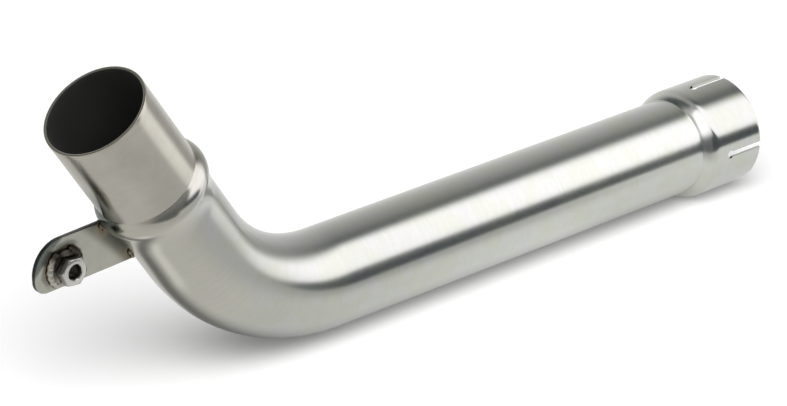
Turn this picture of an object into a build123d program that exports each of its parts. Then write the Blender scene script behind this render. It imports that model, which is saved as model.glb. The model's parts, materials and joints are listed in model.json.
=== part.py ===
from build123d import *
import math
import os

os.makedirs("parts", exist_ok=True)

# Motorcycle link pipe that takes the place of the catalyst box.
# Millimetres and degrees. The origin is the centre of the slotted socket's rim, +X points out of
# the socket, +Z is up, and the bend lies in the plane Y = 0.

# Tube: one length of thin-walled stainless, bent on a mandrel
tube_d = 50.8
wall = 1.5
bend_radius = 101.6
bend_angle = 55.0
long_run = 250.0
short_run = 35.8

# Socket: the far end swaged out and slotted, so that a band clamp can close it
socket_bore_over_tube = 5.0
socket_length = 32.0
flare_radius = 12.0
slot_count = 4
slot_width = 3.2
slot_length = 23.5
slot_hole_d = 4.6

# Spigot: the near end sized to slip into the header, with a rolled shoulder as its stop
spigot_over_tube = 1.2
spigot_length = 51.0
shoulder_over_spigot = 5.6
shoulder_radius = 9.2

# Rounds of the rolled tube
rim_round = 0.35
flare_crease = 0.8
spigot_crease = 0.6
shoulder_foot = 3.0

# Hanger plate: flat, nearly level, welded edge on to the outside of the short leg
plate_width = 25.0
plate_thickness = 2.5
plate_face_y = 10.0
plate_tilt = 3.0
plate_end = 17.4
plate_bottom_round = 7.0
plate_end_flat = 2.0
plate_edge_round = 0.4
hole_off_tube = 28.1
hole_below_middle = 2.8
bolt_clearance = 1.0

# Flange nut, M8, welded on the plate's front face
nut_flats = 13.0
nut_height = 8.0
nut_face_d = 12.2
nut_chamfer = 28.0
nut_turn = -8.0
flange_d = 18.0
flange_edge = 1.3
flange_slope = 25.0
thread_d = 8.0
thread_depth = 0.6
countersink_lip = 0.2

# Weld beads, each a row of overlapping drops
plate_drop = 2.3
tack_drop = 1.9
nut_drop = 2.4
drop_pitch = 2.5
seam_samples = 24
nut_weld_inset = 0.3
nut_long_weld = (125.0, 230.0)
nut_short_weld = (20.0, 62.0)
tack_count = 2

# Run of each cutter past the faces that it cuts
cut_margin = 1.0

tube_r = tube_d / 2
spigot_r = tube_r + spigot_over_tube / 2
shoulder_r = spigot_r + shoulder_over_spigot / 2
socket_r = tube_r + socket_bore_over_tube / 2 + wall
hole_reach = tube_r + hole_off_tube
plate_top_round = plate_width - plate_bottom_round - plate_end_flat
flange_r = flange_d / 2
thread_bore = thread_d - 2 * thread_depth


def arc_reach(crest_r, arc_r, foot_r):
    """Distance along the axis from the crest of a rolled arc to where it meets foot_r."""
    return math.sqrt(arc_r**2 - (foot_r - crest_r + arc_r) ** 2)


def rolled_arc(crest_x, crest_r, arc_r, ends):
    """Arc over a crest. Each end is a side of the crest, -1, 0 or 1, and the radius it ends at."""
    centre_r = crest_r - arc_r
    points = [(crest_x + side * arc_reach(crest_r, arc_r, r), r) for side, r in ends]
    angles = [math.atan2(r - centre_r, x - crest_x) for x, r in points]
    middle = sum(angles) / 2
    top = (crest_x + arc_r * math.cos(middle), centre_r + arc_r * math.sin(middle))
    return ThreePointArc(points[0], top, points[1])


def soften(face, corners):
    """Round the corners of a profile that lie nearest to the given points."""
    for point, radius in corners:
        corner = face.vertices().sort_by_distance(point)[0]
        face = fillet(corner, radius)
    return face


# Stations along the two straight legs
flare_reach = arc_reach(socket_r, flare_radius, tube_r)
bend_x = -(socket_length + flare_reach + long_run)
turn = math.radians(bend_angle)
leg_dir = Vector(-math.cos(turn), 0, math.sin(turn))
leg_out = Vector(-math.sin(turn), 0, -math.cos(turn))
leg_foot = Vector(bend_x - bend_radius * math.sin(turn), 0, bend_radius * (1 - math.cos(turn)))
leg_plane = Plane(origin=leg_foot, x_dir=leg_dir, z_dir=(0, -1, 0))
shoulder_x = short_run + arc_reach(shoulder_r, shoulder_radius, tube_r)
spigot_x = shoulder_x + arc_reach(shoulder_r, shoulder_radius, spigot_r)
mouth_x = spigot_x + spigot_length


def long_leg_line(inset):
    """Profile of the long leg from the socket's rim to the bend, at a depth inside the wall."""
    mouth_r, run_r, arc_r = socket_r - inset, tube_r - inset, flare_radius - inset
    arc = rolled_arc(-socket_length, mouth_r, arc_r, [(0, mouth_r), (-1, run_r)])
    return [Line((0, mouth_r), arc @ 0), arc, Line(arc @ 1, (bend_x, run_r))]


def short_leg_line(inset):
    """Profile of the short leg from the bend to the spigot's mouth, at a depth inside the wall."""
    run_r, crest_r, end_r = tube_r - inset, shoulder_r - inset, spigot_r - inset
    arc = rolled_arc(shoulder_x, crest_r, shoulder_radius - inset, [(-1, run_r), (1, end_r)])
    return [Line((0, run_r), arc @ 0), arc, Line(arc @ 1, (mouth_x, end_r))]


# Creases at the ends of each leg's arc, as the arc's end and the crease's outside radius
long_creases = [(1, flare_crease)]
short_creases = [(0, shoulder_foot), (1, spigot_crease)]


def tube_wall(line_at, creases, rim):
    """Leg of the tube, turned from its wall profile. The creases and the rim are rounded."""
    outer, inner = line_at(0), line_at(wall)
    ends = [Line(inner[0] @ 0, outer[0] @ 0), Line(inner[-1] @ 1, outer[-1] @ 1)]
    face = make_face(outer + inner + ends)
    corners = [(line[rim] @ -rim, rim_round) for line in (outer, inner)]
    for arc_end, radius in creases:
        corners.append((outer[1] @ arc_end, radius))
        corners.append((inner[1] @ arc_end, radius + wall))
    return revolve(soften(face, corners), Axis.X)


def tube_core(line_at, creases):
    """Leg of the tube filled solid, for trimming what is welded to its outside."""
    outer = line_at(0)
    start, end = outer[0] @ 0, outer[-1] @ 1
    sides = [Line((start.X, 0), start), Line(end, (end.X, 0)), Line((end.X, 0), (start.X, 0))]
    corners = [(outer[1] @ arc_end, radius) for arc_end, radius in creases]
    return revolve(soften(make_face(outer + sides), corners), Axis.X)


def bend(section):
    """A section of the tube carried round the bend."""
    start = Plane(origin=(bend_x, 0, 0), x_dir=(0, 1, 0), z_dir=(1, 0, 0))
    axis = Axis((bend_x, 0, bend_radius), (0, 1, 0))
    return revolve(start * section, axis, bend_angle)


def slot_cutter():
    """Keyhole slot at the top of the socket: a straight cut from the rim into a drilled hole."""
    depth = wall + 2 * cut_margin
    middle_r = socket_r - wall / 2
    run = slot_length + cut_margin
    cut = Pos(run / 2 - slot_length, 0, middle_r) * Box(run, slot_width, depth)
    return cut + Pos(-slot_length, 0, middle_r) * Cylinder(slot_hole_d / 2, depth)


def make_pipe():
    long_leg = tube_wall(long_leg_line, long_creases, 0)
    short_leg = tube_wall(short_leg_line, short_creases, -1)
    elbow = bend(Circle(tube_r) - Circle(tube_r - wall))
    pipe = long_leg + elbow + leg_plane * short_leg
    for index in range(slot_count):
        pipe -= Rot(X=index * 360 / slot_count) * slot_cutter()
    return pipe


# The plate's own plane: origin at the bolt hole on the front face, x along the plate to the tube
hole_centre = leg_foot + leg_dir * shoulder_x + leg_out * hole_reach + Vector(0, plate_face_y, 0)
tilt = math.radians(plate_tilt)
plate_plane = Plane(origin=hole_centre, x_dir=(math.cos(tilt), 0, math.sin(tilt)), z_dir=(0, -1, 0))
lean = math.pi / 2 - turn - tilt
plate_top = plate_width / 2 + hole_below_middle
plate_bottom = plate_top - plate_width


def on_tube(station, out):
    """Point in the plate's plane, from its station on the short leg and distance from the axis."""
    along, across = station - shoulder_x, hole_reach - out
    x = across * math.cos(lean) - along * math.sin(lean)
    y = across * math.sin(lean) + along * math.cos(lean)
    return x, y


def station_at(y, out):
    """Station on the short leg where a line at a distance from its axis crosses the plate's y."""
    return shoulder_x + (y - (hole_reach - out) * math.sin(lean)) / math.cos(lean)


def make_plate(core):
    """Plate with a rounded end and a bolt hole. Its inner edge follows the tube and shoulder."""
    corners = [
        (-plate_end, plate_bottom),
        on_tube(station_at(plate_bottom, 0), 0),
        on_tube(station_at(plate_top, 0), 0),
        (-plate_end, plate_top),
    ]
    outline = make_face(Polyline(*corners, close=True))
    end_rounds = [(corners[0], plate_bottom_round), (corners[3], plate_top_round)]
    outline = soften(outline, [((x, y, 0), radius) for (x, y), radius in end_rounds])
    blank = extrude(outline, -plate_thickness)
    blank = fillet(blank.faces().filter_by(Axis.Z).edges(), plate_edge_round)
    hole = Cylinder((thread_d + bolt_clearance) / 2, plate_thickness + 2 * cut_margin)
    blank -= Pos(Z=-plate_thickness / 2) * hole
    return plate_plane * blank - core


def make_nut():
    """Hex nut with a washer-like flange, rounded crown and a thread bore countersunk both ends."""
    fall = math.tan(math.radians(nut_chamfer))
    crown_z = nut_height - (flange_d - nut_face_d) / 2 * fall
    crown = [(0, 0), (flange_r, 0), (flange_r, crown_z), (nut_face_d / 2, nut_height), (0, nut_height)]
    crown_cone = revolve(Plane.XZ * make_face(Polyline(*crown, close=True)), Axis.Z)
    hexagon = Rot(Z=nut_turn) * RegularPolygon(nut_flats / 2, 6, major_radius=False)
    skirt_z = flange_edge + flange_r * math.tan(math.radians(flange_slope))
    skirt = [(0, 0), (flange_r, 0), (flange_r, flange_edge), (0, skirt_z)]
    flange = revolve(Plane.XZ * make_face(Polyline(*skirt, close=True)), Axis.Z)
    nut = (extrude(hexagon, nut_height) & crown_cone) + flange
    nut -= Pos(Z=nut_height / 2) * Cylinder(thread_bore / 2, nut_height + 2 * cut_margin)
    sink = (thread_d - thread_bore) / 2 + countersink_lip
    mouth = Cone(thread_bore / 2, thread_bore / 2 + sink, sink)
    nut -= Pos(Z=nut_height - sink / 2) * mouth
    nut -= Pos(Z=sink / 2) * Rot(X=180) * mouth
    return plate_plane * nut


def drops(points, radius):
    """Weld bead as overlapping drops of metal, at points in the plate's plane."""
    bead = Part() + [Pos(*point) * Sphere(radius) for point in points]
    return plate_plane * bead


def tube_surface(station):
    """Outside radius of the short leg at a station, from its straight run to the shoulder's crest."""
    if station < short_run:
        return tube_r
    rise = math.sqrt(shoulder_radius**2 - (station - shoulder_x) ** 2)
    return shoulder_r - shoulder_radius + rise


def plate_seam(z, first_y, last_y):
    """Evenly spaced points where a face of the plate, at depth z, meets the tube."""
    face_y = plate_face_y - z
    start = station_at(first_y, math.sqrt(tube_r**2 - face_y**2))
    end = station_at(last_y, math.sqrt(shoulder_r**2 - face_y**2))
    stations = [start + (end - start) * index / seam_samples for index in range(seam_samples + 1)]
    outs = [math.sqrt(tube_surface(station) ** 2 - face_y**2) for station in stations]
    seam = Polyline(*[(*on_tube(station, out), z) for station, out in zip(stations, outs)])
    steps = round(seam.length / drop_pitch)
    return [tuple(seam @ (index / steps)) for index in range(steps + 1)]


def nut_seam(weld_arc):
    """Points round the nut's flange, along an arc given by its two angles."""
    start, end = weld_arc
    radius = flange_r - nut_weld_inset
    count = round(math.radians(end - start) * radius / drop_pitch) + 1
    angles = [math.radians(start + (end - start) * index / (count - 1)) for index in range(count)]
    return [(radius * math.cos(angle), radius * math.sin(angle), 0) for angle in angles]


core = leg_plane * tube_core(short_leg_line, short_creases) + bend(Circle(tube_r))
pipe = make_pipe()
plate = make_plate(core)
nut = make_nut()

back_seam = plate_seam(-plate_thickness, plate_bottom + plate_drop, plate_top - plate_drop)
front_seam = plate_seam(0, plate_bottom + tack_drop, plate_top - tack_drop)
plate_weld_back = drops(back_seam, plate_drop) - plate - core
plate_weld_lower = drops(front_seam[:tack_count], tack_drop) - plate - core
plate_weld_upper = drops(front_seam[-tack_count:], tack_drop) - plate - core
nut_weld_outer = drops(nut_seam(nut_long_weld), nut_drop) - nut - plate
nut_weld_inner = drops(nut_seam(nut_short_weld), nut_drop) - nut - plate

export_step(pipe, "parts/pipe.step")
export_step(plate, "parts/hanger_plate.step")
export_step(nut, "parts/flange_nut.step")
export_step(plate_weld_back, "parts/plate_weld_back.step")
export_step(plate_weld_lower, "parts/plate_weld_lower.step")
export_step(plate_weld_upper, "parts/plate_weld_upper.step")
export_step(nut_weld_outer, "parts/nut_weld_outer.step")
export_step(nut_weld_inner, "parts/nut_weld_inner.step")
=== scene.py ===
import json
import math

import bpy
from bpy.props import FloatProperty, FloatVectorProperty, IntProperty, PointerProperty
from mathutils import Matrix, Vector


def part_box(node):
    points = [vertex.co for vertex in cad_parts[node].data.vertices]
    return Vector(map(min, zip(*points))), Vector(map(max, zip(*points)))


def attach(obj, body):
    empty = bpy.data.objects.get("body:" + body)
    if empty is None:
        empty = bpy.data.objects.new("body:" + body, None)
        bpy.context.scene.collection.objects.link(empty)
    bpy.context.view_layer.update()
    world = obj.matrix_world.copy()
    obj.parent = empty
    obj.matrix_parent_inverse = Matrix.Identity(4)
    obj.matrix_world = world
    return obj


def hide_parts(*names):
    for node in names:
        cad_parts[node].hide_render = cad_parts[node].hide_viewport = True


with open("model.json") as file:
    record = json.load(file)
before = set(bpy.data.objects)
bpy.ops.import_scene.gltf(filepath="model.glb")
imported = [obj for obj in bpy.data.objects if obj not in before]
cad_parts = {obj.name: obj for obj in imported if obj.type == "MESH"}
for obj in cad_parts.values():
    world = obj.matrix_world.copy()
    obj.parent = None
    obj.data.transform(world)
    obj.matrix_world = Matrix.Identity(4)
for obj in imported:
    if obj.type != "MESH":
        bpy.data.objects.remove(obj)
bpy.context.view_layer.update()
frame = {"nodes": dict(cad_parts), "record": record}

bl_info = {
    "name": "Slotted Link Pipe",
    "version": (1, 0, 0),
    "blender": (4, 5, 0),
    "location": "View3D > Sidebar > Link Pipe",
    "description": "Dresses a stainless exhaust link pipe: the rolled tube, its hanger, welds and studio",
    "category": "Object",
}

MM = 0.001
QUARTER = math.pi / 2
LATHE_RADIUS = 1 * MM
MERGE_DISTANCE = 0.001 * MM
BOX_TINT = (1, 0.975, 1.02)

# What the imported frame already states: the mounts, and from them the tube's line
mounts = {mount["name"]: mount for mount in frame["record"]["mounts"]}
mouth = Vector(mounts["spigot"]["pos_m"])
leg_dir = Vector(mounts["spigot"]["axis"]).normalized()
bolt_hole = Vector(mounts["hanger_hole"]["pos_m"])
spigot_radius = mounts["spigot"]["dims"]["r_mm"] * MM
socket_bore = mounts["socket"]["dims"]["r_mm"] * MM
thread_bore = mounts["hanger_thread"]["dims"]["r_mm"] * MM
socket_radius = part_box("pipe")[1].y
floor_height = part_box("pipe")[0].z
turn = math.acos(-leg_dir.x)


class TubeSizes(bpy.types.PropertyGroup):
    """Sizes of the tube, the nut's thread and the weld beads that the frame's mounts don't state."""

    tube_radius: FloatProperty(
        name="Tube radius",
        description="Outside radius of the plain tube",
        default=25.4 * MM,
        unit="LENGTH",
    )
    bend_radius: FloatProperty(
        name="Bend radius",
        description="From the bend's centre to the tube's axis",
        default=101.6 * MM,
        unit="LENGTH",
    )
    socket_length: FloatProperty(
        name="Socket length",
        description="Straight part of the swaged socket",
        default=32 * MM,
        unit="LENGTH",
    )
    flare_radius: FloatProperty(
        name="Flare radius",
        description="Roll of the wall from the socket to the tube",
        default=12 * MM,
        unit="LENGTH",
    )
    flare_crease: FloatProperty(
        name="Flare crease",
        description="Round where the flare meets the tube",
        default=0.8 * MM,
        unit="LENGTH",
    )
    spigot_length: FloatProperty(
        name="Spigot length",
        description="Straight part of the spigot",
        default=51 * MM,
        unit="LENGTH",
    )
    shoulder_height: FloatProperty(
        name="Shoulder height",
        description="Rise of the rolled shoulder over the spigot",
        default=2.8 * MM,
        unit="LENGTH",
    )
    shoulder_radius: FloatProperty(
        name="Shoulder radius",
        description="Roll of the shoulder's crest",
        default=9.2 * MM,
        unit="LENGTH",
    )
    shoulder_foot: FloatProperty(
        name="Shoulder foot",
        description="Round where the shoulder meets the tube",
        default=34 * MM,
        unit="LENGTH",
    )
    spigot_crease: FloatProperty(
        name="Spigot crease",
        description="Round where the shoulder meets the spigot",
        default=0.6 * MM,
        unit="LENGTH",
    )
    rim_round: FloatProperty(
        name="Rim round",
        description="Round of the wall's cut ends",
        default=0.35 * MM,
        unit="LENGTH",
    )
    slot_count: IntProperty(name="Slots", description="Keyhole slots round the socket", default=4, min=1)
    slot_width: FloatProperty(
        name="Slot width",
        description="Straight part of each slot",
        default=3.2 * MM,
        unit="LENGTH",
    )
    slot_length: FloatProperty(
        name="Slot length",
        description="From the rim to the drilled hole's centre",
        default=23.5 * MM,
        unit="LENGTH",
    )
    slot_hole: FloatProperty(
        name="Slot hole",
        description="Diameter of the drilled hole at a slot's end",
        default=4.6 * MM,
        unit="LENGTH",
    )
    thread_radius: FloatProperty(
        name="Thread radius",
        description="Outer radius of the nut's thread",
        default=4 * MM,
        unit="LENGTH",
    )
    thread_pitch: FloatProperty(
        name="Thread pitch",
        description="Rise of the thread in one turn",
        default=1.25 * MM,
        unit="LENGTH",
    )
    bead_voxel: FloatProperty(
        name="Bead voxel",
        description="Grid that the weld drops are melted on",
        default=0.2 * MM,
        unit="LENGTH",
    )
    bead_melt: IntProperty(name="Bead melt", description="Smoothing passes over a bead", default=4, min=0)
    bead_ripple: FloatProperty(
        name="Bead ripple",
        description="Height of the uneven ripples",
        default=0.35 * MM,
        unit="LENGTH",
    )
    bead_pitch: FloatProperty(
        name="Bead pitch",
        description="Distance between ripples",
        default=2.2 * MM,
        unit="LENGTH",
    )
    segments: IntProperty(name="Segments", description="Faces round the tube", default=144, min=24)


class FinishColours(bpy.types.PropertyGroup):
    """Colours of the metals, as their reflection."""

    tube_steel: FloatVectorProperty(
        name="Tube steel",
        description="Brushed stainless tube",
        default=(0.615, 0.625, 0.59),
        subtype="COLOR",
    )
    olive_steel: FloatVectorProperty(
        name="Olive steel",
        description="Blotches of the brushed tube",
        default=(0.595, 0.61, 0.54),
        subtype="COLOR",
    )
    spigot_steel: FloatVectorProperty(
        name="Spigot steel",
        description="Warmer satin of the sized spigot",
        default=(0.62, 0.60, 0.52),
        subtype="COLOR",
    )
    plate_steel: FloatVectorProperty(
        name="Plate steel",
        description="Brushed hanger plate",
        default=(0.565, 0.565, 0.49),
        subtype="COLOR",
    )
    nut_steel: FloatVectorProperty(
        name="Nut steel",
        description="Satin nut",
        default=(0.62, 0.61, 0.57),
        subtype="COLOR",
    )
    weld_steel: FloatVectorProperty(
        name="Weld metal",
        description="Crown of the weld beads",
        default=(0.58, 0.565, 0.50),
        subtype="COLOR",
    )
    straw: FloatVectorProperty(
        name="Straw tint",
        description="Outer heat tint beside a weld",
        default=(0.48, 0.42, 0.30),
        subtype="COLOR",
    )
    rust: FloatVectorProperty(
        name="Brown tint",
        description="Inner heat tint beside a weld",
        default=(0.25, 0.17, 0.11),
        subtype="COLOR",
    )
    # Blued steel on the plate; also the painted dark reflection of the plate on the tube.
    blue: FloatVectorProperty(
        name="Blue tint",
        description="Dark blued steel above the nut",
        default=(0.17, 0.195, 0.18),
        subtype="COLOR",
    )
    # Soot by the welds; also used as painted shade on the nut's upper flats and flange, in its threaded
    # bore, and as its painted shadow on the plate.
    soot_and_shade: FloatVectorProperty(
        name="Soot",
        description="Burnt film on the nut's upper flats",
        default=(0.06, 0.055, 0.045),
        subtype="COLOR",
    )
    bore_grey: FloatVectorProperty(
        name="Bore grey",
        description="Dull inside of the tube",
        default=(0.16, 0.165, 0.155),
        subtype="COLOR",
    )


class StageSettings(bpy.types.PropertyGroup):
    """Camera, floor and studio light."""

    camera_place: FloatVectorProperty(
        name="Camera place",
        description="Where the camera stands",
        default=(-1.4071, -1.2066, 0.7622),
        subtype="XYZ",
    )
    camera_turn: FloatVectorProperty(
        name="Camera turn",
        description="The camera's rotation",
        default=(math.radians(66.281), math.radians(-1.089), math.radians(-43.497)),
        subtype="EULER",
    )
    camera_lens: FloatProperty(
        name="Lens",
        description="Focal length in mm on a 36 mm sensor",
        default=169.25,
    )
    floor_width: FloatProperty(
        name="Floor width",
        description="Side of the floor",
        default=12.0,
        unit="LENGTH",
    )
    floor_edge: FloatProperty(
        name="Floor card edge",
        description="How far the bright card on the floor reaches forward",
        default=0.265,
        unit="LENGTH",
    )
    floor_lift: FloatProperty(
        name="Floor lift",
        description="Light that the floor shows the camera even in full shadow",
        default=0.05,
    )
    key_way: FloatVectorProperty(
        name="Key light",
        description="Direction that the soft key light comes from",
        default=(-0.42, -0.5, 0.757),
        subtype="XYZ",
    )
    key_level: FloatProperty(name="Key level", description="Brightness at the key's middle", default=6.8)
    key_focus: FloatProperty(name="Key focus", description="How fast the key fades to its side", default=8)
    dome_level: FloatProperty(name="Dome", description="Brightness of the dim dome", default=0.06)
    box_level: FloatProperty(
        name="Soft box",
        description="Brightness of the soft box beside the camera",
        default=1.6,
    )
    box_low: FloatVectorProperty(
        name="Soft box foot",
        description="The soft box's lower left corner",
        default=(-0.40, -0.34, 0.11),
        subtype="XYZ",
    )
    box_high: FloatVectorProperty(
        name="Soft box head",
        description="The soft box's upper right corner",
        default=(0.12, -0.12, 0.55),
        subtype="XYZ",
    )


class Value:
    """A node's output that sums can be written on. Each operation adds a Math node."""

    def __init__(self, graph, socket):
        self.graph = graph
        self.socket = socket

    def math(self, operation, *terms):
        return self.graph.node("ShaderNodeMath", {"operation": operation}, dict(enumerate((self, *terms))))

    def also(self, output):
        """Another output of the same node."""
        return Value(self.graph, self.socket.node.outputs[output])

    def __add__(self, other):
        return self.math("ADD", other)

    def __sub__(self, other):
        return self.math("SUBTRACT", other)

    def __mul__(self, other):
        return self.math("MULTIPLY", other)

    def __truediv__(self, other):
        return self.math("DIVIDE", other)

    def __pow__(self, other):
        return self.math("POWER", other)

    def __neg__(self):
        return self.math("MULTIPLY", -1.0)

    def __rsub__(self, other):
        return self.graph.node("ShaderNodeMath", {"operation": "SUBTRACT"}, {0: other, 1: self})

    def __rtruediv__(self, other):
        return self.graph.node("ShaderNodeMath", {"operation": "DIVIDE"}, {0: other, 1: self})

    __radd__ = __add__
    __rmul__ = __mul__

    def step(self, low, high, start=0.0, end=1.0):
        """Smooth change from start to end as the value goes from low to high, held outside them."""
        if low > high:
            low, high, start, end = high, low, end, start
        return self.graph.node(
            "ShaderNodeMapRange",
            {"interpolation_type": "SMOOTHSTEP"},
            {"Value": self, "From Min": low, "From Max": high, "To Min": start, "To Max": end},
        )

    def between(self, start, full, fading, end):
        """1 where the value is between full and fading, with smooth edges out to start and end."""
        return self.step(start, full) * self.step(end, fading)

    def hold(self, low, high):
        """The value kept between two limits."""
        return self.math("MAXIMUM", low).math("MINIMUM", high)

    def swing(self, amount):
        """A noise about zero, in proportion to an amount."""
        return (self - 0.5) * amount


class Graph:
    """Node tree whose nodes all come from one method."""

    def __init__(self, tree):
        self.tree = tree

    def node(self, kind, settings=None, inputs=None, output=0):
        """Any node: its settings first, then the values or links of its sockets."""
        made = self.tree.nodes.new(kind)
        for name, setting in (settings or {}).items():
            setattr(made, name, setting)
        for name, given in (inputs or {}).items():
            self.feed(made.inputs[name], given)
        return Value(self, made.outputs[output]) if made.outputs else made

    def feed(self, socket, given):
        if isinstance(given, list):
            for each in given:
                self.feed(socket, each)
        elif isinstance(given, Value):
            self.tree.links.new(given.socket, socket)
        else:
            socket.default_value = given

    def parts(self, vector):
        """X, Y and Z of a vector."""
        first = self.node("ShaderNodeSeparateXYZ", inputs={0: vector})
        return first, first.also("Y"), first.also("Z")

    def vector(self, x, y, z):
        return self.node("ShaderNodeCombineXYZ", inputs={0: x, 1: y, 2: z})

    def scale(self, vector, factor):
        """A vector or colour times one number."""
        return self.node("ShaderNodeVectorMath", {"operation": "SCALE"}, {0: vector, "Scale": factor})

    def dot(self, first, second):
        return self.node(
            "ShaderNodeVectorMath", {"operation": "DOT_PRODUCT"}, {0: first, 1: second}, output="Value"
        )

    def mix_colour(self, factor, first, second):
        """Colour between two, as Mix makes it."""
        colours = [c if isinstance(c, Value) else (*c, 1.0) for c in (first, second)]
        return self.node(
            "ShaderNodeMix", {"data_type": "RGBA"}, {0: factor, 6: colours[0], 7: colours[1]}, output=2
        )

    def tinted(self, colour, *films):
        """A colour under films of others, each given as its mask and its colour."""
        for mask, overlay in films:
            colour = self.mix_colour(mask, colour, overlay)
        return colour

    def noise(self, vector, scale, detail, roughness):
        return self.node(
            "ShaderNodeTexNoise",
            {"noise_dimensions": "3D"},
            {"Vector": vector, "Scale": scale, "Detail": detail, "Roughness": roughness},
        )

    def grain(self, place, waves, detail, roughness):
        """Noise with its own number of waves in a metre along each axis."""
        stretched = self.node("ShaderNodeVectorMath", {"operation": "MULTIPLY"}, {0: place, 1: waves})
        return self.noise(stretched, 1.0, detail, roughness)

    def moved(self, geometry, place, turned=(0, 0, 0)):
        return self.node(
            "GeometryNodeTransform", inputs={0: geometry, "Translation": place, "Rotation": turned}
        )

    def cut(self, solid, cutter):
        """A solid less a cutter."""
        return self.node(
            "GeometryNodeMeshBoolean",
            {"operation": "DIFFERENCE", "solver": "EXACT"},
            {"Mesh 1": solid, "Mesh 2": cutter},
        )

    def stored(self, geometry, name, value, kind):
        """Geometry whose points keep a value under a name."""
        return self.node(
            "GeometryNodeStoreNamedAttribute",
            {"data_type": kind, "domain": "POINT"},
            {0: geometry, "Name": name, "Value": value},
        )


def blend(mask, first, second):
    """Number that goes from first to second as the mask goes from 0 to 1."""
    return first * (1 - mask) + second * mask


def new_tree(name, sockets):
    """Geometry Nodes tree with the named inputs, and the two ends of its graph."""
    tree = bpy.data.node_groups.new(name, "GeometryNodeTree")
    tree.interface.new_socket("Geometry", in_out="INPUT", socket_type="NodeSocketGeometry")
    for socket_name, kind in sockets.items():
        tree.interface.new_socket(socket_name, in_out="INPUT", socket_type="NodeSocket" + kind)
    tree.interface.new_socket("Geometry", in_out="OUTPUT", socket_type="NodeSocketGeometry")
    graph = Graph(tree)
    source = graph.node("NodeGroupInput", output="Geometry")
    return graph, source


def end_tree(graph, geometry, material):
    """Realize Instances and Set Material close a tree."""
    whole = graph.node("GeometryNodeRealizeInstances", inputs={0: geometry})
    dressed = graph.node("GeometryNodeSetMaterial", inputs={0: whole, "Material": material})
    graph.node("NodeGroupOutput", inputs={0: dressed})


def run_tree(piece, tree, values):
    """Run a tree on a piece once and keep the result as its plain mesh."""
    modifier = piece.modifiers.new(tree.name, "NODES")
    modifier.node_group = tree
    for item in tree.interface.items_tree:
        if item.in_out == "INPUT" and item.name in values:
            modifier[item.identifier] = values[item.name]
    depsgraph = bpy.context.evaluated_depsgraph_get()
    made = bpy.data.meshes.new_from_object(piece.evaluated_get(depsgraph), depsgraph=depsgraph)
    piece.modifiers.remove(modifier)
    piece.data = made
    made.name = piece.name


def new_piece(name, mesh):
    piece = bpy.data.objects.new(name, mesh)
    bpy.context.scene.collection.objects.link(piece)
    return piece


def dress_node(node_name, material):
    """Give a CAD node its finish through its object's own material slots."""
    node = frame["nodes"][node_name]
    for each in node.material_slots:
        each.link = "OBJECT"
        each.material = material


def new_material(name):
    material = bpy.data.materials.new(name)
    material.use_nodes = True
    material.node_tree.nodes.clear()
    return material, Graph(material.node_tree)


def finish_metal(graph, colour, roughness, height, strength, depth):
    """Close a metal's graph with one Principled shader over a bump of a strength and depth."""
    bump = graph.node("ShaderNodeBump", inputs={"Strength": strength, "Distance": depth, "Height": height})
    shader = graph.node(
        "ShaderNodeBsdfPrincipled",
        inputs={"Base Color": colour, "Metallic": 1.0, "Roughness": roughness, "Normal": bump},
    )
    graph.node("ShaderNodeOutputMaterial", inputs={"Surface": shader})


def shade_by_angle(graph, mesh, limit):
    """Smooth faces with sharp edges above an angle in degrees."""
    smooth = graph.node("GeometryNodeSetShadeSmooth", {"domain": "FACE"}, {0: mesh, "Shade Smooth": True})
    sharp = graph.node("GeometryNodeInputMeshEdgeAngle").math("GREATER_THAN", math.radians(limit))
    return graph.node(
        "GeometryNodeSetShadeSmooth",
        {"domain": "EDGE"},
        {0: smooth, "Selection": sharp, "Shade Smooth": False},
    )


def crease_round(crest_x, crest_r, arc_r, run_r, crease, side):
    """Centre of the hollow round between a rolled arc and a plain run on one side of its crest."""
    centre_r = run_r + crease
    reach = math.sqrt((arc_r + crease) ** 2 - (centre_r - crest_r + arc_r) ** 2)
    return Vector((crest_x + side * reach, centre_r))


def arc_points(centre, radius, start, end, steps):
    """Points of an arc in the wall's section, its ends included."""
    angles = [start + (end - start) * index / steps for index in range(steps + 1)]
    return [Vector((centre[0] + radius * math.cos(a), centre[1] + radius * math.sin(a))) for a in angles]


def run_points(start, end, radius, pitch):
    """Points of a plain run between two stations, its ends left out."""
    count = max(1, round((end - start) / pitch))
    return [Vector((start + (end - start) * index / count, radius)) for index in range(1, count)]


def angle_to(centre, point):
    return math.atan2(point[1] - centre[1], point[0] - centre[0])


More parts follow.
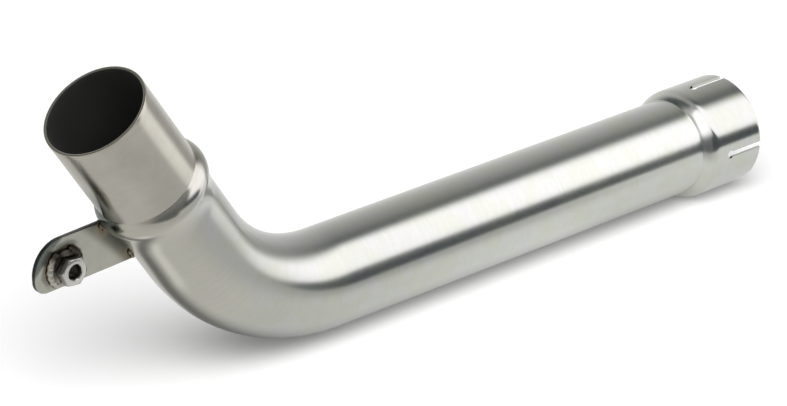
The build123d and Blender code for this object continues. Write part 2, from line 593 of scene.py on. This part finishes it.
def wall_side(sizes, length, inset):
    """One side of the tube wall from the socket's rim to the mouth, at a depth inside the wall."""
    tube_r, spigot_r = sizes.tube_radius, spigot_radius
    crest_r = spigot_r + sizes.shoulder_height
    flare_centre = Vector((sizes.socket_length, socket_radius - sizes.flare_radius))
    flare_valley = crease_round(
        sizes.socket_length, socket_radius, sizes.flare_radius, tube_r, sizes.flare_crease, 1
    )
    spigot_start = length - sizes.spigot_length
    shoulder_reach = math.sqrt(sizes.shoulder_radius**2 - (spigot_r - crest_r + sizes.shoulder_radius) ** 2)
    shoulder_x = spigot_start - shoulder_reach
    shoulder_centre = Vector((shoulder_x, crest_r - sizes.shoulder_radius))
    foot = crease_round(shoulder_x, crest_r, sizes.shoulder_radius, tube_r, sizes.shoulder_foot, -1)
    crease = crease_round(shoulder_x, crest_r, sizes.shoulder_radius, spigot_r, sizes.spigot_crease, 1)
    up, down = QUARTER, 3 * QUARTER
    plain_pitch, end_pitch = 3 * MM, 1.6 * MM
    flare_steps, crease_steps, foot_steps, crest_steps = 12, 6, 8, 14
    flare_tangent = angle_to(flare_centre, flare_valley)
    foot_tangent = angle_to(shoulder_centre, foot)
    crease_tangent = angle_to(shoulder_centre, crease)
    points = run_points(0, flare_centre[0], socket_radius - inset, end_pitch)
    points += arc_points(flare_centre, sizes.flare_radius - inset, up, flare_tangent, flare_steps)
    points += arc_points(
        flare_valley, sizes.flare_crease + inset, flare_tangent + math.pi, down, crease_steps
    )
    points += run_points(flare_valley[0], foot[0], tube_r - inset, plain_pitch)
    points += arc_points(foot, sizes.shoulder_foot + inset, down, foot_tangent + math.pi, foot_steps)
    points += arc_points(
        shoulder_centre, sizes.shoulder_radius - inset, foot_tangent, crease_tangent, crest_steps
    )
    points += arc_points(crease, sizes.spigot_crease + inset, crease_tangent + math.pi, down, crease_steps)
    points += run_points(crease[0], length, spigot_r - inset, plain_pitch)
    return points


def rim(station, outer, inner, round_r, outwards):
    """Two quarter rounds over a cut end of the wall. Outwards is 1 at the mouth and -1 at the socket."""
    up, corner_steps = QUARTER, 4
    facing, down = (0, -QUARTER) if outwards > 0 else (2 * QUARTER, 3 * QUARTER)
    centre_x = station - outwards * round_r
    points = arc_points((centre_x, outer - round_r), round_r, up, facing, corner_steps)
    points += arc_points((centre_x, inner + round_r), round_r, facing, down, corner_steps)
    return points if outwards > 0 else list(reversed(points))


def tube_section(sizes, length):
    """Closed section of the wall, as stations and radii, in order round it."""
    wall = socket_radius - socket_bore
    outer = wall_side(sizes, length, 0)
    inner = wall_side(sizes, length, wall)
    mouth_rim = rim(length, spigot_radius, spigot_radius - wall, sizes.rim_round, 1)
    socket_rim = rim(0, socket_radius, socket_bore, sizes.rim_round, -1)
    points = outer + mouth_rim + list(reversed(inner)) + socket_rim
    shortest_edge = 0.01 * MM
    kept = [points[0]]
    for point in points[1:]:
        if (point - kept[-1]).length > shortest_edge:
            kept.append(point)
    return kept


def tube_length(sizes):
    """Length of the tube along its axis, and the station where the bend starts, from the mouth's place."""
    rise = sizes.bend_radius * (1 - math.cos(turn))
    leg = (mouth.z - rise) / math.sin(turn)
    bend_start = -(mouth.x + sizes.bend_radius * math.sin(turn) + leg * math.cos(turn))
    return bend_start + sizes.bend_radius * turn + leg, bend_start


def tube_tree(material):
    """Tree that turns the wall's section into a straight tube, cuts its slots and bends it."""
    graph, section = new_tree(
        "Bent tube",
        {
            "Segments": "Int", "Slots": "Int", "Slot Width": "Float", "Slot Length": "Float",
            "Slot Hole": "Float", "Cut Radius": "Float", "Cut Depth": "Float", "Bend Start": "Float",
            "Bend Radius": "Float", "Bend Angle": "Float",
        },
    )
    profile = graph.node("GeometryNodeMeshToCurve", inputs={0: section})
    ring = graph.node(
        "GeometryNodeCurvePrimitiveCircle",
        inputs={"Resolution": section.also("Segments"), "Radius": LATHE_RADIUS},
    )
    turned = graph.node("GeometryNodeCurveToMesh", inputs={"Curve": ring, "Profile Curve": profile})
    straight = graph.moved(turned, (0, 0, 0), (0, QUARTER, 0))

    # A saw cut that starts past the rim and ends in a drilled hole
    past_rim, drill_sides = 2 * MM, 48
    slot_length, cut_radius = section.also("Slot Length"), section.also("Cut Radius")
    cut_depth = section.also("Cut Depth")
    run = slot_length + past_rim
    saw = graph.node(
        "GeometryNodeMeshCube", inputs={"Size": graph.vector(run, section.also("Slot Width"), cut_depth)}
    )
    saw = graph.moved(saw, graph.vector(run / 2 - slot_length, 0.0, cut_radius))
    drill = graph.node(
        "GeometryNodeMeshCylinder",
        inputs={"Vertices": drill_sides, "Radius": section.also("Slot Hole") / 2, "Depth": cut_depth},
    )
    drill = graph.moved(drill, graph.vector(-slot_length, 0.0, cut_radius))
    keyhole = graph.node(
        "GeometryNodeMeshBoolean", {"operation": "UNION", "solver": "EXACT"}, {"Mesh 2": [saw, drill]}
    )
    places = graph.node("GeometryNodePoints", inputs={"Count": section.also("Slots")})
    slot_turn = graph.node("GeometryNodeInputIndex") * (2 * math.pi / section.also("Slots"))
    keyholes = graph.node(
        "GeometryNodeInstanceOnPoints",
        inputs={"Points": places, "Instance": keyhole, "Rotation": graph.vector(slot_turn, 0.0, 0.0)},
    )
    keyholes = graph.node("GeometryNodeRealizeInstances", inputs={0: keyholes})
    slotted = graph.cut(straight, keyholes)

    # The finish needs each point's place on the straight tube, and which side of the wall it is on
    place = graph.node("GeometryNodeInputPosition")
    kept = graph.stored(slotted, "unbent", place, "FLOAT_VECTOR")
    x, y, z = graph.parts(place)
    radius = (y * y + z * z).math("SQRT")
    outwards = graph.dot(graph.node("GeometryNodeInputNormal"), graph.vector(0.0, y, z)) / radius
    outer_wall, inner_wall = -0.2, -0.6
    kept = graph.stored(kept, "inside", outwards.step(outer_wall, inner_wall), "FLOAT")

    bend_start, bend_radius = section.also("Bend Start"), section.also("Bend Radius")
    angle = ((-x - bend_start) / bend_radius).hold(0.0, section.also("Bend Angle"))
    bent = graph.node(
        "ShaderNodeVectorRotate",
        {"rotation_type": "AXIS_ANGLE"},
        {
            "Vector": graph.vector(x + angle * bend_radius, y, z),
            "Center": graph.vector(-bend_start, 0.0, bend_radius),
            "Axis": (0, 1, 0),
            "Angle": angle,
        },
    )
    tube = graph.node("GeometryNodeSetPosition", inputs={0: kept, "Position": bent})
    sharp_from = 35
    end_tree(graph, shade_by_angle(graph, tube, sharp_from), material)
    return graph.tree


def tube_material(colours):
    """Brushed stainless with olive blotches, a warmer spigot and a darker, rougher bore, with painted shade
    towards the bend, a painted glow from the floor on the leg's lower side and a painted dark reflection of
    the plate.
    """
    material, graph = new_material("tube_steel")
    unbent = graph.node("ShaderNodeAttribute", {"attribute_name": "unbent"}, output="Vector")
    inside = graph.node("ShaderNodeAttribute", {"attribute_name": "inside"}, output="Fac")
    x, y, z = graph.parts(unbent)
    station = -x
    grain = graph.grain(unbent, (3600, 160, 160), 3.0, 0.6)
    fine = graph.grain(unbent, (9000, 400, 400), 2.0, 0.6)
    streak = graph.grain(unbent, (900, 40, 40), 2.0, 0.5)
    blotch = graph.grain(unbent, (70, 70, 70), 3.0, 0.55)

    # Where the parts of the tube lie, by the station along it
    sizes = bpy.context.scene.pipe_sizes
    length, bend_start = tube_length(sizes)
    spigot_start = length - sizes.spigot_length
    leg = station - (bend_start + sizes.bend_radius * turn)
    socket = station.step(sizes.socket_length + 8 * MM, sizes.socket_length)
    # Painted shade: darker from 60 mm along up to the bend, and more so along the tube's top there.
    painted_bend_shade = station.step(60 * MM, bend_start)
    upper = painted_bend_shade * z.step(sizes.tube_radius * 0.8, sizes.tube_radius)
    # Painted reflection: the leg's lower side by the bend lighter and warmer, as the pale floor shows in
    # it.
    painted_floor_glow = leg.step(-50 * MM, -20 * MM) * z.step(3 * MM, -10 * MM)
    spigot = station.step(spigot_start - 10 * MM, spigot_start + 3 * MM)

    steel = graph.mix_colour(blotch.step(0.4, 0.6), colours.tube_steel, colours.olive_steel)
    # Warmer tone: the spigot's own, and the painted floor glow on the leg.
    warm = (spigot + painted_floor_glow * 0.7).math("MINIMUM", 1.0)
    colour = graph.mix_colour(warm, steel, colours.spigot_steel)
    tube_blotch, spigot_blotch, grain_depth, streak_depth = 0.10, 0.14, 0.08, 0.07
    # Shade: painted shade towards the bend, socket and spigot a little darker, the painted floor glow, and
    # random blotches, grain and streaks.
    shade = 1 - painted_bend_shade * 0.05 - socket * 0.05 - upper * 0.1 + painted_floor_glow * 0.06 - spigot * 0.06
    shade = shade + blotch.swing(tube_blotch + spigot * spigot_blotch)
    shade = shade + grain.swing(grain_depth) + streak.swing(streak_depth)
    # Painted reflection: a dark blue patch on the tube's side next to the plate, where the plate shows in
    # it.
    plate_reflection_along = leg.between(36 * MM, 42 * MM, 58 * MM, 78 * MM)
    overlay = plate_reflection_along * y.step(-9 * MM, -3 * MM) * z.step(3 * MM, -3 * MM)
    cut_rim = station.step(length - 0.9 * MM, length - 0.5 * MM)
    deep = inside * station.step(8 * MM, 60 * MM)
    colour = graph.tinted(
        graph.scale(colour, shade),
        (overlay * 0.9, colours.blue),
        (cut_rim * 0.3, colours.straw),
        (deep, colours.bore_grey),
    )
    satin, dull_bore = 0.2, 0.3
    roughness = satin - socket * 0.05 + blotch.swing(0.06) + grain.swing(0.08) + deep * dull_bore
    finish_metal(graph, colour, roughness, grain * 0.6 + fine * 0.4, 0.35, 0.02 * MM)
    return material


class PIPE_OT_tube(bpy.types.Operator):
    """Make the bent tube with its socket, slots, shoulder and spigot"""

    bl_idname = "pipe.tube"
    bl_label = "Make Tube"

    def execute(self, context):
        sizes = context.scene.pipe_sizes
        length, bend_start = tube_length(sizes)
        points = [(radius - LATHE_RADIUS, station, 0) for station, radius in tube_section(sizes, length)]
        points.reverse()
        count = len(points)
        mesh = bpy.data.meshes.new("rolled_tube")
        mesh.from_pydata(points, [(index, (index + 1) % count) for index in range(count)], [])
        piece = new_piece("rolled_tube", mesh)
        material = tube_material(context.scene.pipe_colours)
        wall, past_wall = socket_radius - socket_bore, 4 * MM
        run_tree(
            piece,
            tube_tree(material),
            {
                "Segments": sizes.segments, "Slots": sizes.slot_count, "Slot Width": sizes.slot_width,
                "Slot Length": sizes.slot_length, "Slot Hole": sizes.slot_hole,
                "Cut Radius": socket_radius - wall / 2, "Cut Depth": wall + past_wall,
                "Bend Start": bend_start, "Bend Radius": sizes.bend_radius, "Bend Angle": turn,
            },
        )
        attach(piece, "root")
        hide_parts("pipe")
        return {"FINISHED"}


def middle(node_name):
    """Centre of a node's box."""
    low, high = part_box(node_name)
    return (low + high) / 2


def apart(graph, place, point):
    """Distance over the plate from a point, along X and Z."""
    x, _, z = graph.parts(place)
    across, up = x - point.x, z - point.z
    return (across * across + up * up).math("SQRT")


def plate_material(colours):
    """Brushed plate with dark cut edges, a painted reflection of the tube, a painted shadow beside the nut,
    and heat tints at the nut and tacks.
    """
    material, graph = new_material("plate_steel")
    place = graph.node("ShaderNodeTexCoord", output="Object")
    _, facing, _ = graph.parts(place.also("Normal"))
    x, _, z = graph.parts(place)
    grain = graph.grain(place, (5200, 5200, 420), 3.0, 0.6)
    blotch = graph.grain(place, (170, 170, 170), 3.0, 0.5)
    ragged = blotch.swing(6 * MM)
    colour = graph.scale(colours.plate_steel, 1 + blotch.swing(0.22) + grain.swing(0.14))

    # Distance out from the leg's axis, set back a little lower down. Near the tube the plate is painted
    # darker, as a painted reflection of it.
    lean, lean_top = 0.34, bolt_hole.z + 14 * MM
    from_tube = (x - mouth.x) * -leg_dir.z + (z - mouth.z) * leg_dir.x + (lean_top - z) * lean
    painted_tube_reflection = from_tube.step(38 * MM, 31 * MM) * 0.58 + from_tube.step(32 * MM, 28 * MM) * 0.16
    colour = graph.scale(colour, 1 - painted_tube_reflection)

    # Tints over and round the nut, by the distance from its hole and the side of it, and a painted shadow
    # close beside the nut's upper edge.
    hole = apart(graph, place, bolt_hole) + ragged * 0.5
    across, up = x - bolt_hole.x, z - bolt_hole.z
    far_corner = (up - across + ragged * 0.4).step(15 * MM, 18 * MM)
    near_nut = hole.step(14 * MM, 11.5 * MM) * (up - across).step(-2 * MM, 7 * MM)
    halo = hole.step(14.5 * MM, 10.2 * MM) * (up * 0.4 - across).step(-6 * MM, 1 * MM)
    ring = hole.step(11.8 * MM, 10.2 * MM) * (up - across * 0.5).step(-6 * MM, 1 * MM)
    # Painted shadow: nearly black just beside the nut, on its upper side.
    painted_nut_shadow = hole.step(11.6 * MM, 10.6 * MM) * (up + across * 0.5).step(-2 * MM, 4 * MM)
    colour = graph.tinted(
        colour,
        (far_corner.math("MAXIMUM", near_nut) * 0.9, colours.blue),
        (halo * 0.25, colours.straw),
        (ring * 0.8, colours.rust),
        (painted_nut_shadow * 0.85, colours.soot_and_shade),
    )
    for tack, reach in (("plate_weld_upper", 7 * MM), ("plate_weld_lower", 6 * MM)):
        near = apart(graph, place, middle(tack)) + ragged * 0.6
        colour = graph.tinted(
            colour,
            (near.step(reach, reach * 0.5) * 0.3, colours.straw),
            (near.step(reach * 0.6, reach * 0.3) * 0.7, colours.rust),
        )
    cut_edge = facing.math("ABSOLUTE").step(0.75, 0.45)
    edge_shade = 0.2
    colour = graph.mix_colour(cut_edge, colour, graph.scale(colour, edge_shade))
    roughness = 0.2 + blotch.swing(0.08) + cut_edge * 0.15
    finish_metal(graph, colour, roughness, grain, 0.25, 0.02 * MM)
    return material


def nut_material(colours):
    """Satin nut with a pale end face, soot and straw tint near the plate with painted shade on its upper
    flats, a sooted flange darker on top as painted shade, and a threaded bore painted near black as shade.
    """
    material, graph = new_material("nut_steel")
    place = graph.node("ShaderNodeTexCoord", output="Object")
    facing_x, facing_y, facing_z = graph.parts(place.also("Normal"))
    x, y, z = graph.parts(place)
    blotch = graph.grain(place, (420, 420, 420), 3.0, 0.5)
    end_face = facing_y.step(-0.8, -0.97)
    colour = graph.scale(colours.nut_steel, 1 + blotch.swing(0.16) + end_face * 0.25)
    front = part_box("flange_nut")[0].y
    deep = (y + blotch.swing(2 * MM)).step(front + 1.2 * MM, front + 3.2 * MM)
    # Painted shade: of the flats near the plate, the upper ones take the soot, the lower ones only straw.
    upper = (facing_z - facing_x * 0.4).step(-0.2, 0.6)
    # Painted shade on the flange: darker on its upper side, over the soot all round.
    above = (z - bolt_hole.z - (x - bolt_hole.x) * 0.3).step(-5 * MM, 1 * MM)
    flange = y.step(front + 4.5 * MM, front + 5.2 * MM) * (0.35 + above * 0.55)
    # Painted shade: the threaded bore is painted near black.
    in_bore = apart(graph, place, bolt_hole).step(4.25 * MM, 4.05 * MM)
    thread = in_bore * y.step(front + 0.2 * MM, front + 0.6 * MM)
    colour = graph.tinted(
        colour,
        (deep * upper * 0.9, colours.soot_and_shade),
        (deep * (1 - upper) * 0.35, colours.straw),
        (flange, colours.soot_and_shade),
        (thread * 0.97, colours.soot_and_shade),
    )
    finish_metal(graph, colour, 0.24 + blotch.swing(0.1), blotch, 0.2, 0.03 * MM)
    return material


def thread_tree(material):
    """Tree that cuts a helical thread through a nut's bore."""
    graph, nut = new_tree(
        "Threaded bore",
        {
            "Pitch": "Float", "Inner Radius": "Float", "Outer Radius": "Float",
            "Start": "Vector", "Run": "Float",
        },
    )
    # A three-sided groove reaches out by its radius and in by half of it
    groove_sides, groove_reach, turn_steps = 3, 1.5, 40
    outer, run = nut.also("Outer Radius"), nut.also("Run")
    cut_radius = (outer - nut.also("Inner Radius")) / groove_reach
    helix_radius = outer - cut_radius
    helix = graph.node(
        "GeometryNodeCurveSpiral",
        inputs={
            "Resolution": turn_steps, "Rotations": run / nut.also("Pitch"),
            "Start Radius": helix_radius, "End Radius": helix_radius, "Height": run,
        },
    )
    groove = graph.node(
        "GeometryNodeCurvePrimitiveCircle", inputs={"Resolution": groove_sides, "Radius": cut_radius}
    )
    cutter = graph.node(
        "GeometryNodeCurveToMesh", inputs={"Curve": helix, "Profile Curve": groove, "Fill Caps": True}
    )
    cutter = graph.moved(cutter, nut.also("Start"), (QUARTER, 0, 0))
    merged = graph.node("GeometryNodeMergeByDistance", inputs={0: nut, "Distance": MERGE_DISTANCE})
    sharp_from = 30
    end_tree(graph, shade_by_angle(graph, graph.cut(merged, cutter), sharp_from), material)
    return graph.tree


class PIPE_OT_hanger(bpy.types.Operator):
    """Finish the hanger plate and cut the thread in its nut"""

    bl_idname = "pipe.hanger"
    bl_label = "Finish Hanger"

    def execute(self, context):
        colours = context.scene.pipe_colours
        dress_node("hanger_plate", plate_material(colours))
        sizes = context.scene.pipe_sizes
        front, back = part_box("flange_nut")[0].y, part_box("flange_nut")[1].y
        nut = new_piece("threaded_nut", frame["nodes"]["flange_nut"].data.copy())
        nut.data.materials.clear()
        run = back - front + 2 * sizes.thread_pitch
        run_tree(
            nut,
            thread_tree(nut_material(colours)),
            {
                "Pitch": sizes.thread_pitch, "Inner Radius": thread_bore,
                "Outer Radius": sizes.thread_radius, "Run": run,
                "Start": (bolt_hole.x, back + sizes.thread_pitch, bolt_hole.z),
            },
        )
        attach(nut, "root")
        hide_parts("flange_nut")
        return {"FINISHED"}


def weld_material(colours):
    """Weld metal: pale crowns, straw to brown in the hollows and at the toes, burnt above the nut."""
    material, graph = new_material("weld_steel")
    place = graph.node("ShaderNodeTexCoord", output="Object")
    x, y, z = graph.parts(place)
    blotch = graph.grain(place, (900, 900, 900), 3.0, 0.6)
    wide = graph.grain(place, (260, 260, 260), 2.0, 0.5)
    plate_front = bolt_hole.y - 2.5 * MM
    crown = (plate_front - y + blotch.swing(1.2 * MM)).step(0.3 * MM, 1.5 * MM)
    lit = crown * (bolt_hole.z - z + wide.swing(8 * MM)).step(-9 * MM, -3 * MM)
    across, up = x - bolt_hole.x, z - bolt_hole.z
    by_nut = apart(graph, place, bolt_hole).step(15 * MM, 13 * MM)
    burnt = by_nut * (up + across * 0.8 + wide.swing(4 * MM)).step(-3 * MM, 2 * MM)
    colour = graph.tinted(
        colours.rust,
        (crown, colours.straw),
        (lit, colours.weld_steel),
        ((1 - by_nut) * 0.5 + burnt * 0.95, colours.soot_and_shade),
    )
    finish_metal(graph, colour, 0.34 + blotch.swing(0.2), blotch, 0.5, 0.12 * MM)
    return material


def bead_tree(material):
    """Tree that melts a row of drops into one bead and gives it uneven ripples."""
    graph, drops = new_tree(
        "Weld bead", {"Voxel": "Float", "Melt": "Int", "Ripple": "Float", "Pitch": "Float"}
    )
    voxel, band, surface_at = drops.also("Voxel"), 1 * MM, 0.1
    merged = graph.node("GeometryNodeMergeByDistance", inputs={0: drops, "Distance": MERGE_DISTANCE})
    cloud = graph.node(
        "GeometryNodeMeshToVolume",
        {"resolution_mode": "VOXEL_SIZE"},
        {0: merged, "Voxel Size": voxel, "Interior Band Width": band},
    )
    bead = graph.node(
        "GeometryNodeVolumeToMesh",
        {"resolution_mode": "VOXEL_SIZE"},
        {0: cloud, "Voxel Size": voxel, "Threshold": surface_at},
    )
    place = graph.node("GeometryNodeInputPosition")
    melted = graph.node(
        "GeometryNodeBlurAttribute",
        {"data_type": "FLOAT_VECTOR"},
        {"Value": place, "Iterations": drops.also("Melt")},
    )
    bead = graph.node("GeometryNodeSetPosition", inputs={0: bead, "Position": melted})
    lumps = graph.noise(place, 1 / drops.also("Pitch"), 2.0, 0.5)
    level_lump = 0.62
    sink = (lumps - level_lump) * drops.also("Ripple") * 2
    offset = graph.scale(graph.node("GeometryNodeInputNormal"), sink)
    bead = graph.node("GeometryNodeSetPosition", inputs={0: bead, "Offset": offset})
    bead = graph.node("GeometryNodeSetShadeSmooth", {"domain": "FACE"}, {0: bead, "Shade Smooth": True})
    end_tree(graph, bead, material)
    return graph.tree


class PIPE_OT_welds(bpy.types.Operator):
    """Melt the drops of each weld bead together and ripple it"""

    bl_idname = "pipe.welds"
    bl_label = "Finish Welds"

    def execute(self, context):
        sizes = context.scene.pipe_sizes
        tree = bead_tree(weld_material(context.scene.pipe_colours))
        for name in [name for name in frame["nodes"] if "weld" in name]:
            bead = new_piece("rippled_" + name, frame["nodes"][name].data.copy())
            bead.data.materials.clear()
            run_tree(
                bead, tree,
                {
                    "Voxel": sizes.bead_voxel, "Melt": sizes.bead_melt, "Ripple": sizes.bead_ripple,
                    "Pitch": sizes.bead_pitch,
                },
            )
            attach(bead, "root")
            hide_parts(name)
        return {"FINISHED"}


def studio_light(graph):
    """Brightness of the studio by direction, in degrees round from +X towards +Y and up from level."""
    x, y, z = graph.parts(graph.node("ShaderNodeTexCoord", output="Generated"))
    degrees = 180 / math.pi
    azimuth = y.math("ARCTAN2", x) * degrees
    height = z.math("ARCSINE") * degrees

    # Grey wall past the socket's end, with a darker trough, that turns dim round to the back
    wall_level, paler_round, darker_up, wall_dark, wall_pale = 0.53, 0.0058, 0.0071, 0.15, 1.1
    wall = (wall_level + azimuth * paler_round - height * darker_up).hold(wall_dark, wall_pale)
    trough = azimuth.between(-12, 4, 10, 26) * 0.2
    dim_wall = height.step(15, 45, 0.5, 0.1)
    turned = azimuth.step(70, 110)
    wall = blend(turned, wall * (1 - trough), dim_wall)

    # Large soft box at one side, over a slanting edge with a dark gap under it
    slant_rise = 1.05
    slant = height.math("MAXIMUM", 1.0) + azimuth * slant_rise
    over_edge = slant.step(-40, -33)
    large_box = height.step(-10, 22, 1.2, 1.68)
    gap = height.step(-12, -5, 0.66, 0.1)
    box_start = height.step(-6, 25, -2.5, 4)
    box_fade = height.step(-5, 25, 11, 24)
    beside = ((box_start - azimuth) / box_fade).step(0, 1)
    level = blend(beside, wall, blend(over_edge, gap, large_box))

    # Dark curtain behind the camera between plain grey walls
    plain_wall, curtain_round = 0.48, -118
    curtain = (azimuth - curtain_round).math("ABSOLUTE").step(15, 55, 0.15, plain_wall)
    level = blend(azimuth.step(-84, -94), level, curtain)
    level = blend(azimuth.math("ABSOLUTE").step(150, 178), level, plain_wall)
    ceiling = 0.42 - turned * 0.32
    return blend(height.step(64, 76), level, ceiling)


def set_world(stage):
    """World: white to the camera, a soft key over a dim dome to matt things, the studio to metal."""
    world = bpy.data.worlds.new("studio")
    bpy.context.scene.world = world
    world.use_nodes = True
    world.node_tree.nodes.clear()
    graph = Graph(world.node_tree)
    glossy = graph.node("ShaderNodeLightPath", output="Is Glossy Ray")
    seen = glossy.also("Is Camera Ray")
    ray = graph.node("ShaderNodeTexCoord", output="Generated")
    key = graph.dot(ray, stage.key_way).math("MAXIMUM", 0.0)
    dome = stage.dome_level + key**stage.key_focus * stage.key_level
    level = studio_light(graph)
    strength = dome + (1 - dome) * seen + (level - dome) * glossy
    plain, cool = (1, 1, 1), (0.86, 0.98, 1.06)
    colour = graph.mix_colour(glossy * level.step(0.3, 0.05), plain, cool)
    colour = graph.mix_colour(glossy * level.step(0.9, 1.5), colour, BOX_TINT)
    shader = graph.node("ShaderNodeBackground", inputs={"Color": colour, "Strength": strength})
    graph.node("ShaderNodeOutputWorld", inputs={"Surface": shader})


def floor_material(stage):
    """Matt white floor. In reflections it is a bright card that ends a little way forward."""
    material, graph = new_material("floor_card")
    x, y, _ = graph.parts(graph.node("ShaderNodeTexCoord", output="Object"))
    glossy = graph.node("ShaderNodeLightPath", output="Is Glossy Ray")
    seen = glossy.also("Is Camera Ray")
    white, matt_white = (1, 1, 1, 1), (0.98, 0.98, 0.98, 1)
    matt = graph.node("ShaderNodeBsdfDiffuse", inputs={"Color": matt_white})
    lift = graph.node(
        "ShaderNodeEmission", inputs={"Color": white, "Strength": seen * stage.floor_lift}
    )
    shown = graph.node("ShaderNodeAddShader", inputs={0: matt, 1: lift})

    # The card is darker towards the elbow, with one fade by the pipe and one out in front
    by_pipe = x.step(-0.44, -0.10, 0.65, 0.97)
    in_front = x.step(-0.12, 0.10, 0.58, 0.95)
    level = blend(y.step(-0.15, -0.05), in_front, by_pipe)

    # The pipe's own shadow on the card: a dark band that bows away under the bend, in a faint wide one
    bow_start, bow, band_dark, wide_dark = 0.30, 2, 0.7, 0.16
    past_bow = (-x - bow_start).math("MAXIMUM", 0.0)
    line = y - past_bow * past_bow * bow
    band_end = x.step(-0.36, -0.28, 48 * MM, 90 * MM)
    band = line.step(-28 * MM, 8 * MM) * (band_end - line).step(0, 28 * MM) * x.step(14 * MM, -6 * MM)
    wide = y.step(-80 * MM, -5 * MM) * x.step(-0.14, -0.08)
    level = level * (1 - band * band_dark) * (1 - wide * wide_dark)

    # One pale patch of the card still shows under the elbow
    patch_level = 0.88
    patch = y.between(-26 * MM, -10 * MM, -2 * MM, 10 * MM) * x.between(-0.445, -0.43, -0.41, -0.395)
    level = blend(patch, level, patch_level)
    glow = graph.node("ShaderNodeEmission", inputs={"Color": graph.vector(level, level, level)})

    edge, blur = stage.floor_edge, 8 * MM
    on_card = y.between(-edge - blur, -edge, 0.28, 0.32) * x.step(0.30, 0.26)
    clear = graph.node("ShaderNodeBsdfTransparent")
    reflected = graph.node("ShaderNodeMixShader", inputs={0: on_card, 1: clear, 2: glow})
    mixed = graph.node("ShaderNodeMixShader", inputs={0: glossy, 1: shown, 2: reflected})
    graph.node("ShaderNodeOutputMaterial", inputs={"Surface": mixed})
    return material


def soft_box_material(stage):
    """Soft box that only polished metal sees, faded at its sides and foot."""
    material, graph = new_material("soft_box")
    material.cycles.emission_sampling = "NONE"
    x, _, z = graph.parts(graph.node("ShaderNodeTexCoord", output="Object"))
    glossy = graph.node("ShaderNodeLightPath", output="Is Glossy Ray")
    left, right, foot = stage.box_low.x + 30 * MM, stage.box_high.x - 20 * MM, stage.box_low.z
    side_fade, foot_fade = 70 * MM, 90 * MM
    within = x.between(left, left + side_fade, right - side_fade, right) * z.step(foot, foot + foot_fade)
    glow = graph.node(
        "ShaderNodeEmission", inputs={"Color": (*BOX_TINT, 1), "Strength": stage.box_level}
    )
    clear = graph.node("ShaderNodeBsdfTransparent")
    shown = graph.node("ShaderNodeMixShader", inputs={0: glossy * within, 1: clear, 2: glow})
    graph.node("ShaderNodeOutputMaterial", inputs={"Surface": shown})
    return material


def new_panel(name, corners, material):
    """One flat face of the stage."""
    mesh = bpy.data.meshes.new(name)
    mesh.from_pydata(corners, [], [(0, 1, 2, 3)])
    mesh.materials.append(material)
    return new_piece(name, mesh)


class PIPE_OT_stage(bpy.types.Operator):
    """Set the camera, the white floor and the studio light"""

    bl_idname = "pipe.stage"
    bl_label = "Set Stage"

    def execute(self, context):
        scene = context.scene
        stage = scene.pipe_stage
        lens = bpy.data.cameras.new("camera")
        lens.lens = stage.camera_lens
        lens.clip_start, lens.clip_end = 0.01, 100
        camera = bpy.data.objects.new("camera", lens)
        camera.location = stage.camera_place
        camera.rotation_euler = stage.camera_turn
        scene.collection.objects.link(camera)
        scene.camera = camera

        half = stage.floor_width / 2
        corners = [(-half, -half), (half, -half), (half, half), (-half, half)]
        corners = [(x, y, floor_height) for x, y in corners]
        floor = new_panel("floor", corners, floor_material(stage))

        low, high = stage.box_low, stage.box_high
        corners = [low, (high.x, low.y, low.z), high, (low.x, high.y, high.z)]
        soft_box = new_panel("soft_box", corners, soft_box_material(stage))

        set_world(stage)
        scene.view_settings.view_transform = "Standard"
        return {"FINISHED"}


class PIPE_PT_panel(bpy.types.Panel):
    """Link pipe pieces and their sizes"""

    bl_label = "Link Pipe"
    bl_idname = "PIPE_PT_panel"
    bl_space_type = "VIEW_3D"
    bl_region_type = "UI"
    bl_category = "Link Pipe"

    def draw(self, context):
        layout = self.layout
        for group in (context.scene.pipe_sizes, context.scene.pipe_colours, context.scene.pipe_stage):
            box = layout.box()
            for name in group.__annotations__:
                box.prop(group, name)
        for operator in OPERATORS:
            layout.operator(operator.bl_idname)


GROUPS = {"pipe_sizes": TubeSizes, "pipe_colours": FinishColours, "pipe_stage": StageSettings}
OPERATORS = (PIPE_OT_tube, PIPE_OT_hanger, PIPE_OT_welds, PIPE_OT_stage)
CLASSES = (*GROUPS.values(), *OPERATORS, PIPE_PT_panel)


def register():
    for each in CLASSES:
        bpy.utils.register_class(each)
    for name, group in GROUPS.items():
        setattr(bpy.types.Scene, name, PointerProperty(type=group))


def unregister():
    for name in GROUPS:
        delattr(bpy.types.Scene, name)
    for each in reversed(CLASSES):
        bpy.utils.unregister_class(each)


def main():
    register()
    bpy.ops.pipe.tube()
    bpy.ops.pipe.hanger()
    bpy.ops.pipe.welds()
    bpy.ops.pipe.stage()
    bpy.context.view_layer.update()


if __name__ == "__main__":
    main()
